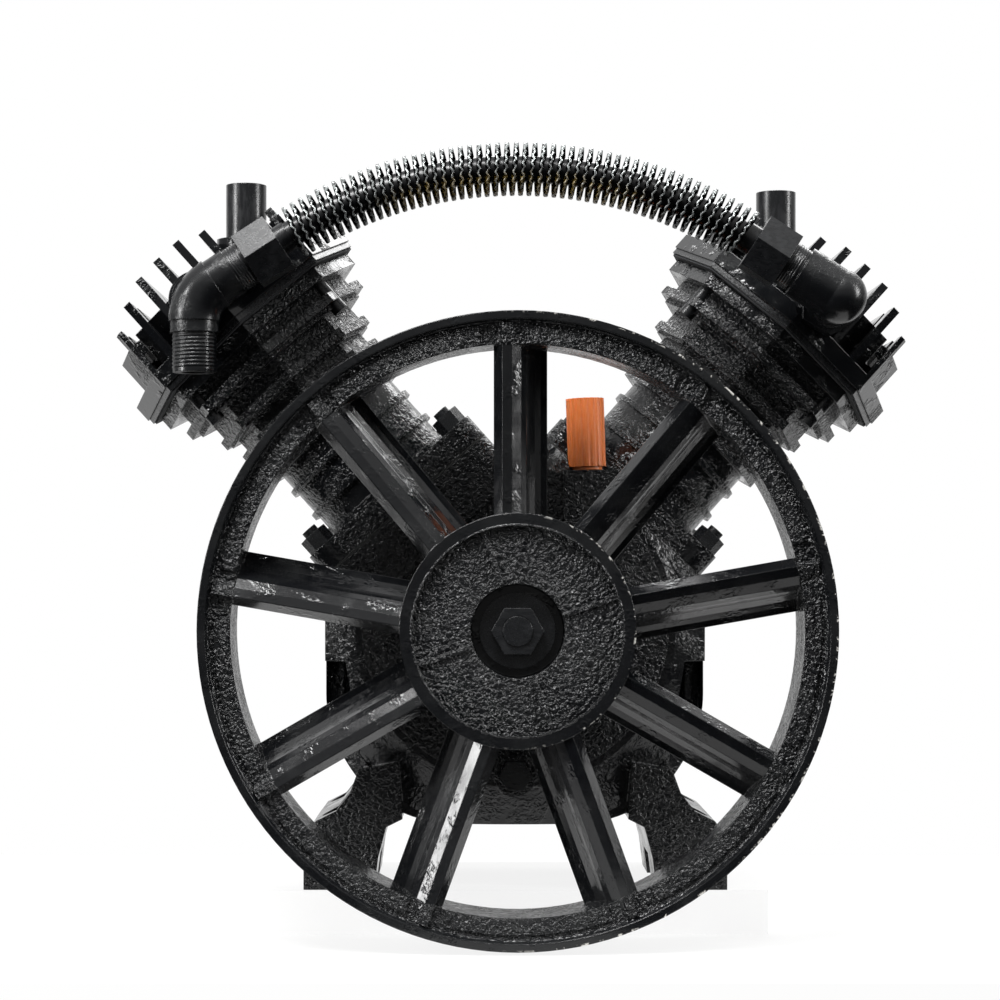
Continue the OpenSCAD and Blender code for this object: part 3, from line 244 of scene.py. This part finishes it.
def drawn_tube():
    """Drawn steel tube under black paint: smooth, with faint runs and dust of the spray."""
    material, tree, shader, place = begin("black_paint_on_drawn_steel_tube", IOR=1.5)
    drawn = lay(tree, VECTOR, {0: place, 1: (1, 1, 0.25)}, operation="MULTIPLY")
    runs = lay(tree, NOISE, {"Vector": drawn, "Scale": 1 / (2.4 * MM), "Detail": 3, "Roughness": 0.55})
    amount = lay(tree, RANGE, {0: runs, 1: 0.42, 2: 0.7}, **SOFT)
    gloss = lay(tree, RANGE, {0: runs, 1: 0.3, 2: 0.7, 3: 0.22, 4: 0.36}, **SOFT)
    dress(tree, shader, amount, "#0f1012", "#1c1d1f", gloss, [(runs, 0.03)], 0.5)
    return material


def wound_fin():
    """Crimped steel strip wound on the tube: black paint in the valleys, rubbed to shiny steel on
    the tips, with a painted highlight making the tips on the arch's top paler than those below, and a
    brown painted reflection on the middle of the underside."""
    material, tree, shader, place = begin("painted_crimped_steel_fin")
    centre = lay(tree, VECTOR, {0: place, 1: (0, 0, ARCH_Z * MM)}, operation="SUBTRACT")
    flat = lay(tree, VECTOR, {0: centre, 1: (1, 0, 1)}, operation="MULTIPLY")
    ring = lay(tree, VECTOR, {0: flat}, operation="LENGTH").node.outputs["Value"]
    off = lay(tree, MATH, {0: ring, 1: ARCH_R * MM}, operation="SUBTRACT")
    parts = lay(tree, PARTS, {0: place}).node.outputs
    side = lay(tree, MATH, {0: parts["Y"], 1: LINE_Y * MM}, operation="SUBTRACT")
    across = lay(tree, "ShaderNodeCombineXYZ", {"X": off, "Y": side})
    far = lay(tree, VECTOR, {0: across}, operation="LENGTH").node.outputs["Value"]
    tip = lay(tree, RANGE, {0: far, 1: (FIN_R - 1.6) * MM, 2: (FIN_R - 0.4) * MM}, **SOFT)
    # Painted highlight: tips on the arch's top are made paler than those underneath, as if lit from
    # above; underneath they keep a quarter of it.
    painted_highlight_on_top = lay(tree, RANGE, {0: off, 1: -2 * MM, 2: 6 * MM, 3: 0.25, 4: 1.0}, **SOFT)
    wear = lay(tree, NOISE, {"Vector": place, "Scale": 1 / (2.2 * MM), "Detail": 3, "Roughness": 0.6})
    rubbed = lay(tree, RANGE, {0: wear, 1: 0.36, 2: 0.56}, **SOFT)
    # Rubbed tips are real wear; their weighting towards the top is painted highlight.
    tips_rubbed_and_painted_highlight = lay(tree, MATH, {0: tip, 1: painted_highlight_on_top}, operation="MULTIPLY")
    tips_rubbed_and_painted_highlight = lay(tree, MATH, {0: tips_rubbed_and_painted_highlight, 1: rubbed}, operation="MULTIPLY")
    reach = lay(tree, MATH, {0: parts["X"]}, operation="ABSOLUTE")
    # Painted reflection: a brown tone on the middle of the arch's underside, broken up by noise.
    middle = lay(tree, RANGE, {0: reach, 1: 75 * MM, 2: 40 * MM}, **SOFT)
    under = lay(tree, RANGE, {0: off, 1: -1 * MM, 2: -6 * MM}, **SOFT)
    reflection_breakup = lay(tree, NOISE, {"Vector": place, "Scale": 1 / (4 * MM), "Detail": 3})
    reflection_breakup = lay(tree, RANGE, {0: reflection_breakup, 1: 0.3, 2: 0.55}, **SOFT)
    painted_brown_reflection = lay(tree, MATH, {0: middle, 1: under}, operation="MULTIPLY")
    painted_brown_reflection = lay(tree, MATH, {0: painted_brown_reflection, 1: reflection_breakup}, operation="MULTIPLY")
    gloss = lay(tree, RANGE, {0: rubbed, 3: 0.34, 4: 0.26}, **SOFT)
    fine = lay(tree, NOISE, {"Vector": place, "Scale": 1 / (1.0 * MM), "Detail": 2})
    # Colour runs from the black paint to the brown of the painted reflection.
    dress(tree, shader, painted_brown_reflection, "#0c0d0f", "#6d5a26", gloss, [(fine, 0.03)], 0.2)
    dark = shader.inputs["Base Color"].links[0].from_socket
    # The pale steel on the tips is wear and painted highlight together; it also sets the metal.
    both = lay(tree, MIX, {"Factor": tips_rubbed_and_painted_highlight, "A": dark, "B": paint("#c4c9c8")}, data_type="RGBA")
    tree.links.new(both.node.outputs["Result"], shader.inputs["Base Color"])
    tree.links.new(tips_rubbed_and_painted_highlight, shader.inputs["Metallic"])
    return material


def orange_plug():
    """Moulded polypropylene, orange: a soft sheen, paler streaks drawn down the flutes and dust on
    the ribs."""
    material, tree, shader, place = begin("moulded_orange_polypropylene", IOR=1.49,
                                          Subsurface_Weight=0.12, Subsurface_Scale=0.003,
                                          Subsurface_Radius=(1.0, 0.35, 0.12))
    drawn = lay(tree, VECTOR, {0: place, 1: (1, 1, 0.12)}, operation="MULTIPLY")
    streak = lay(tree, NOISE, {"Vector": drawn, "Scale": 1 / (0.7 * MM), "Detail": 2})
    dust = lay(tree, NOISE, {"Vector": place, "Scale": 1 / (1.6 * MM), "Detail": 3, "Roughness": 0.6})
    pale = lay(tree, RANGE, {0: streak, 1: 0.3, 2: 0.8, 3: 0.0, 4: 0.3}, **SOFT)
    dusty = lay(tree, RANGE, {0: dust, 1: 0.55, 2: 0.7, 3: 0.0, 4: 0.2}, **SOFT)
    amount = lay(tree, MATH, {0: pale, 1: dusty}, operation="ADD", use_clamp=True)
    gloss = lay(tree, RANGE, {0: dust, 1: 0.35, 2: 0.7, 3: 0.36, 4: 0.52}, **SOFT)
    dress(tree, shader, amount, "#e57a38", "#f5a478", gloss, [(streak, 0.01), (dust, 0.02)], 0.3)
    return material


def plain_metal(name, low, high, rough, streak=(1, 1, 1), grain_mm=0.9, tall=0.012):
    """Bare metal from the lathe, grinder or press: lines along the cut and a little uneven gloss."""
    material, tree, shader, place = begin(name, Metallic=1.0)
    drawn = lay(tree, VECTOR, {0: place, 1: streak}, operation="MULTIPLY")
    lines = lay(tree, NOISE, {"Vector": drawn, "Scale": 1 / (grain_mm * MM),
                              "Detail": 3, "Roughness": 0.6})
    gloss = lay(tree, RANGE, {0: lines, 1: 0.3, 2: 0.7, 3: rough, 4: rough + 0.14}, **SOFT)
    dress(tree, shader, lines, low, high, gloss, [(lines, tall)], 0.25)
    return material


def sheet_gasket(name, low, high):
    """Pressed fibre sheet, its edge painted over: matt, with fibres a few tenths of a millimetre
    wide."""
    material, tree, shader, place = begin(name, IOR=1.5)
    drawn = lay(tree, VECTOR, {0: place, 1: (1, 2.5, 1)}, operation="MULTIPLY")
    fibre = lay(tree, NOISE, {"Vector": drawn, "Scale": 1 / (0.8 * MM),
                              "Detail": 4, "Roughness": 0.65})
    gloss = lay(tree, RANGE, {0: fibre, 1: 0.3, 2: 0.7, 3: 0.7, 4: 0.9}, **SOFT)
    dress(tree, shader, fibre, low, high, gloss, [(fibre, 0.06)], 0.2)
    return material


def seal_rubber():
    """Moulded nitrile rubber: dull black with a fine mould texture."""
    material, tree, shader, place = begin("moulded_nitrile_rubber", IOR=1.52)
    skin = lay(tree, NOISE, {"Vector": place, "Scale": 1 / (0.7 * MM), "Detail": 3})
    gloss = lay(tree, RANGE, {0: skin, 1: 0.3, 2: 0.7, 3: 0.5, 4: 0.66}, **SOFT)
    dress(tree, shader, skin, "#131313", "#242424", gloss, [(skin, 0.03)], 0.3)
    return material


def sight_lens():
    """Clear moulded polycarbonate with the oil's amber behind it."""
    material, tree, shader, place = begin("clear_polycarbonate", IOR=1.58, Transmission_Weight=0.85)
    haze = lay(tree, NOISE, {"Vector": place, "Scale": 1 / (3 * MM), "Detail": 3})
    gloss = lay(tree, RANGE, {0: haze, 1: 0.3, 2: 0.7, 3: 0.05, 4: 0.14}, **SOFT)
    dress(tree, shader, haze, "#e8d9a0", "#f4ead0", gloss, [(haze, 0.02)], 0.3)
    return material


WHEEL = wheel_enamel()
CASE = enamel("black_enamel_on_cast_crankcase", case_grain, 2.1, 0.8, 0.04, 0.16, 0.9)[0]
CYLINDERS = {
    side: enamel("black_enamel_on_cast_cylinder_" + side, between_fins(sign), 2.0, 0.8, 0.035,
                 0.12, 0.7)[0]
    for side, sign in (("left", -1), ("right", 1))
}
HEAD = enamel("black_enamel_on_cast_head", None, 2.0, 0.5, 0.04, 0.1, 0.7)[0]
COVER = enamel("black_enamel_on_cast_cover", None, 1.5, 0.2, 0.05, 0.2, 0.7)[0]
FITTING = enamel("black_paint_on_malleable_iron", None, 1.8, 0.12, 0.04, 0.2, 0.6)[0]
HEX = machined_black("black_paint_on_machined_hex", (0.25, 1, 1))
BOLT = machined_black("black_paint_on_bolt_heads", (1, 1, 1), 0.2)
TUBE = drawn_tube()
FIN = wound_fin()
PLUG = orange_plug()
TURNED = plain_metal("turned_steel", "#8d9094", "#b5b9bd", 0.28, (1, 6, 1))
GROUND = plain_metal("ground_bearing_steel", "#a4a8ac", "#c9cdd0", 0.14, (1, 4, 1))
ALLOY = plain_metal("cast_aluminium", "#9a9c9e", "#bdbfc1", 0.34, (1, 1, 1), 1.4, 0.05)
REED = plain_metal("blued_spring_steel", "#4f5660", "#7d8288", 0.22)
RING = plain_metal("phosphated_ring_iron", "#3c3d3f", "#5b5d5f", 0.4)
PAPER = sheet_gasket("painted_over_fibre_gasket", "#1b1c1b", "#2b2c2a")
GRAPHITE = sheet_gasket("painted_over_graphite_gasket", "#17181a", "#27282a")
RUBBER = seal_rubber()
LENS = sight_lens()

FINISHES = {
    "crankcase": CASE, "front_oil_seal": RUBBER,
    "front_bearing_outer": GROUND, "front_bearing_inner": GROUND, "front_bearing_balls": GROUND,
    "rear_bearing_outer": GROUND, "rear_bearing_inner": GROUND, "rear_bearing_balls": GROUND,
    "rear_cover": COVER, "rear_cover_gasket": PAPER, "rear_cover_bolts": BOLT,
    "sight_glass": LENS, "sight_glass_bezel": TURNED, "drain_plug": HEX, "filler_plug": PLUG,
    "flywheel": WHEEL, "crankshaft": BOLT, "flywheel_key": TURNED, "flywheel_washer": BOLT,
    "flywheel_nut": HEX, "discharge_tee": FITTING, "discharge_elbow": FITTING,
    "pipe_nut_left": HEX, "pipe_nut_right": HEX, "crossover_pipe": TUBE, "crossover_fins": FIN,
}
for side in ("left", "right"):
    FINISHES.update({
        "base_gasket_" + side: PAPER, "cylinder_" + side: CYLINDERS[side],
        "base_studs_" + side: BOLT, "base_nuts_" + side: BOLT, "head_gasket_" + side: GRAPHITE,
        "valve_plate_" + side: BOLT, "reed_valves_" + side: REED, "head_" + side: HEAD,
        "head_bolts_" + side: BOLT, "intake_pipe_" + side: TUBE, "piston_" + side: ALLOY,
        "piston_rings_" + side: RING, "wrist_pin_" + side: GROUND,
        "connecting_rod_" + side: ALLOY, "crankpin_journal_" + side: GROUND,
    })
for name, node in NODES.items():
    node.data.materials.clear()
    node.data.materials.append(FINISHES[name])


# Pieces

def mesh_piece(name, points, faces, material, body):
    """A smooth piece made from points in millimetres, riding on a body."""
    mesh = bpy.data.meshes.new(name)
    mesh.from_pydata([Vector(p) * MM for p in points], [], faces)
    mesh.validate()
    for face in mesh.polygons:
        face.use_smooth = True
    mesh.materials.append(material)
    piece = bpy.data.objects.new(name, mesh)
    bpy.context.scene.collection.objects.link(piece)
    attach(piece, body)
    return piece


def arch_frame(angle):
    """Centre of the crossover tube at an angle from its top, with the tube's direction and outward."""
    outward = Vector((math.sin(angle), 0, math.cos(angle)))
    along = Vector((math.cos(angle), 0, -math.sin(angle)))
    return Vector((0, LINE_Y, ARCH_Z)) + outward * ARCH_R, along, outward


def crimped_fin():
    """The strip wound edge-on round the tube: its foot is crimped into pleats that flatten towards
    the tip, as the strip's inner edge has to lose length."""
    steps, pleats, rows = 72, 18, (0, 0.35, 0.7, 1)
    foot_sunk, foot_wave, flattening, strip_mm = 0.3, 1.0, 0.45, 0.8
    points, faces = [], []
    total = FIN_TURNS * steps
    for step in range(total + 1):
        turn = 2 * math.pi * step / steps
        centre, along, outward = arch_frame(-ARCH_HALF + 2 * ARCH_HALF * step / total)
        direction = outward * math.cos(turn) + Vector((0, 1, 0)) * math.sin(turn)
        for share in rows:
            radius = PIPE_R - foot_sunk + (FIN_R - PIPE_R + foot_sunk) * share
            wave = (foot_wave - flattening * share) * math.sin(pleats * turn)
            points.append(centre + direction * radius + along * wave)
    width = len(rows)
    for step in range(total):
        for row in range(width - 1):
            a = step * width + row
            faces.append((a, a + 1, a + 1 + width, a + width))
    fin = mesh_piece("wound_crimped_fin", points, faces, FIN, "pump_body")
    skin = fin.modifiers.new("strip", "SOLIDIFY")
    skin.thickness = strip_mm * MM
    skin.offset = 0
    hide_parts("crossover_fins")


def thread(name, start, end, radius, pitch, depth, material):
    """A V thread standing on a cylinder from start to end, in millimetres; it runs out over half a
    turn at either end."""
    start, end = Vector(start), Vector(end)
    axis = (end - start).normalized()
    first = axis.orthogonal().normalized()
    second = axis.cross(first)
    steps = 40
    total = int((end - start).length / pitch * steps)
    points, faces = [], []
    for step in range(total + 1):
        turn = 2 * math.pi * step / steps
        tall = depth * min(1, min(step, total - step) / steps * 2)
        outward = first * math.cos(turn) + second * math.sin(turn)
        middle = start + axis * (pitch * step / steps)
        for shift, rise in ((-0.5, -0.05), (-0.12, tall), (0.12, tall), (0.5, -0.05)):
            points.append(middle + axis * shift * pitch + outward * (radius + rise))
    for step in range(total):
        for row in range(3):
            a = step * 4 + row
            faces.append((a, a + 1, a + 5, a + 4))
    mesh_piece(name, points, faces, material, "pump_body")


def on_leg(side, distance):
    """A point on the sloping leg of the line, at a distance from its corner."""
    return (side * (CORNER_X - distance * math.cos(PIPE_SLOPE)), LINE_Y,
            CORNER_Z + distance * math.sin(PIPE_SLOPE))


crimped_fin()
thread("outlet_thread", (-CORNER_X, LINE_Y, 272.5), (-CORNER_X, LINE_Y, 254.6), OUTLET_R, 1.81, 0.32,
       FITTING)
for side, sign in (("left", -1), ("right", 1)):
    thread("line_thread_" + side, on_leg(sign, 22.9), on_leg(sign, 29.9), LINE_END_R, 1.3, 0.35, HEX)


# Floor, light and camera

def stage_white(name, share):
    """Pale matt paper, white to the eye by a share; the rest keeps the object's shadow."""
    material, tree, shader, _ = begin(name)
    tree.nodes.remove(shader)
    path = tree.nodes.new("ShaderNodeLightPath").outputs
    seen = lay(tree, MATH, {0: path["Is Glossy Ray"], 1: path["Is Transmission Ray"]},
               operation="MAXIMUM")
    seen = lay(tree, MATH, {0: path["Is Camera Ray"], 1: seen}, operation="MAXIMUM")
    seen = lay(tree, MATH, {0: seen, 1: share}, operation="MULTIPLY")
    matt = lay(tree, "ShaderNodeBsdfDiffuse", {"Color": paint("#f3f3f1")})
    white = lay(tree, "ShaderNodeEmission", {"Color": (1, 1, 1, 1), "Strength": 1.0})
    both = lay(tree, "ShaderNodeMixShader", {0: seen, 1: matt, 2: white})
    tree.links.new(both, tree.nodes["Material Output"].inputs["Surface"])
    return material


def stage_piece(name, low, high, material):
    """A flat block of the stage, from one corner to the other in millimetres."""
    mesh = bpy.data.meshes.new(name)
    form = bmesh.new()
    bmesh.ops.create_cube(form, size=1)
    for vertex in form.verts:
        vertex.co = Vector((high[i] if vertex.co[i] > 0 else low[i]) * MM for i in range(3))
    form.to_mesh(mesh)
    form.free()
    mesh.materials.append(material)
    block = bpy.data.objects.new(name, mesh)
    bpy.context.scene.collection.objects.link(block)


FLOOR_Z = CRANK_Z - WHEEL_R - 1.5
PAPER_STAGE = stage_white("pale_matt_paper", 0.86)
stage_piece("table", (-320, -190, FLOOR_Z - 12), (320, 260, FLOOR_Z), PAPER_STAGE)
stage_piece("plinth", (-125, -52, FLOOR_Z), (125, 60, 0), PAPER_STAGE)
stage_piece("backdrop", (-3000, 2200, -1500), (3000, 2210, 2500),
            stage_white("white_backdrop", 1.0))

# A studio that is bright overhead and falls to grey towards the floor
world = bpy.data.worlds.new("studio")
bpy.context.scene.world = world
world.use_nodes = True
tree = world.node_tree
ray = tree.nodes.new("ShaderNodeTexCoord").outputs["Generated"]
height = lay(tree, PARTS, {0: ray}).node.outputs["Z"]
low = lay(tree, RANGE, {0: height, 1: -0.25, 2: 0.3, 3: 0.02, 4: 0.36}, **SOFT)
high = lay(tree, RANGE, {0: height, 1: 0.1, 2: 0.7, 3: 0.0, 4: 0.75}, **SOFT)
glow = lay(tree, MATH, {0: low, 1: high}, operation="MAXIMUM")
tree.nodes["Background"].inputs["Color"].default_value = (1, 1, 1, 1)
tree.links.new(glow, tree.nodes["Background"].inputs["Strength"])

AIM = (0, -0.05, 0.18)
# Softboxes: place and size in metres, and power
SOFTBOXES = {
    "top_softbox": ((-0.5, -0.9, 1.7), (0.9, 0.5), 42),
    "left_softbox": ((-1.7, -0.9, 0.7), (0.3, 1.1), 26),
    "right_softbox": ((1.8, -0.5, 0.8), (0.25, 1.0), 18),
    "back_softbox": ((0.3, 1.4, 1.5), (1.4, 0.8), 20),
    "glint_lamp": ((0.35, -1.1, 1.9), (0.12, 0.12), 6),
}
for name, (place, size, power) in SOFTBOXES.items():
    data = bpy.data.lights.new(name, "AREA")
    data.shape = "RECTANGLE"
    data.size, data.size_y = size
    data.energy = power
    box = bpy.data.objects.new(name, data)
    bpy.context.scene.collection.objects.link(box)
    box.location = place
    box.rotation_euler = (Vector(AIM) - Vector(place)).to_track_quat("-Z", "Y").to_euler()

camera_data = bpy.data.cameras.new("camera")
camera_data.lens = 84.85
camera_data.sensor_width = 36
camera_data.shift_x = 0.025
camera_data.shift_y = 0.065
camera_data.clip_start, camera_data.clip_end = 0.05, 30
camera = bpy.data.objects.new("camera", camera_data)
bpy.context.scene.collection.objects.link(camera)
camera.location = (-0.020, -1.218, 0.161)
camera.rotation_euler = (math.pi / 2, 0, 0)
bpy.context.scene.camera = camera
bpy.context.scene.view_settings.view_transform = "Standard"
